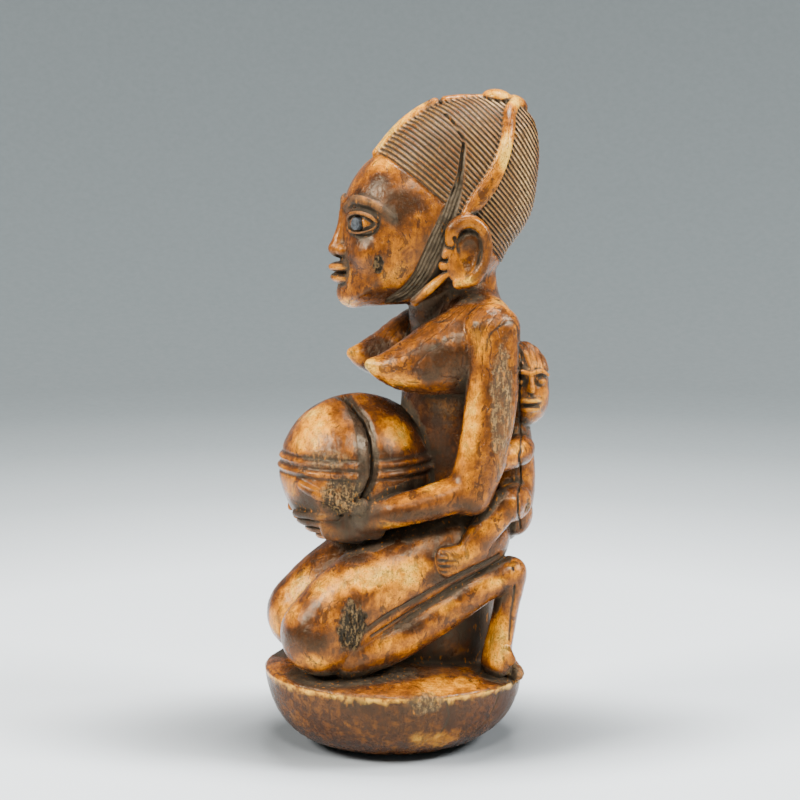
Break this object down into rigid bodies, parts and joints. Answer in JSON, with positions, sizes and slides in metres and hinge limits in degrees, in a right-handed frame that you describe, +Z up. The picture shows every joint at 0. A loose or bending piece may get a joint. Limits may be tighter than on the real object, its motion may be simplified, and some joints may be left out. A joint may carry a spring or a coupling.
{
  "type": "carved maternity figure",
  "caption": "Small ivory carving of a kneeling woman holding a round lidded bowl, with a child clasped to her back, on a rounded foot.",
  "frame": {"origin": "middle of the flat spot under the foot, which the carving stands on", "axes": "+Z up, the woman faces -Y, her left side is +X"},
  "size_m": [0.0548, 0.066, 0.153],
  "materials": {
    "ivory": "old ivory, oiled and handled to an amber to red-brown gloss, dark grime in the cuts",
    "dark_inlay": "near-black dense inlay, dull and slightly crazed"
  },
  "bodies": {
    "root": {"figure": "ivory", "pupil_left": "dark_inlay", "pupil_right": "dark_inlay"}
  },
  "joints": []
}
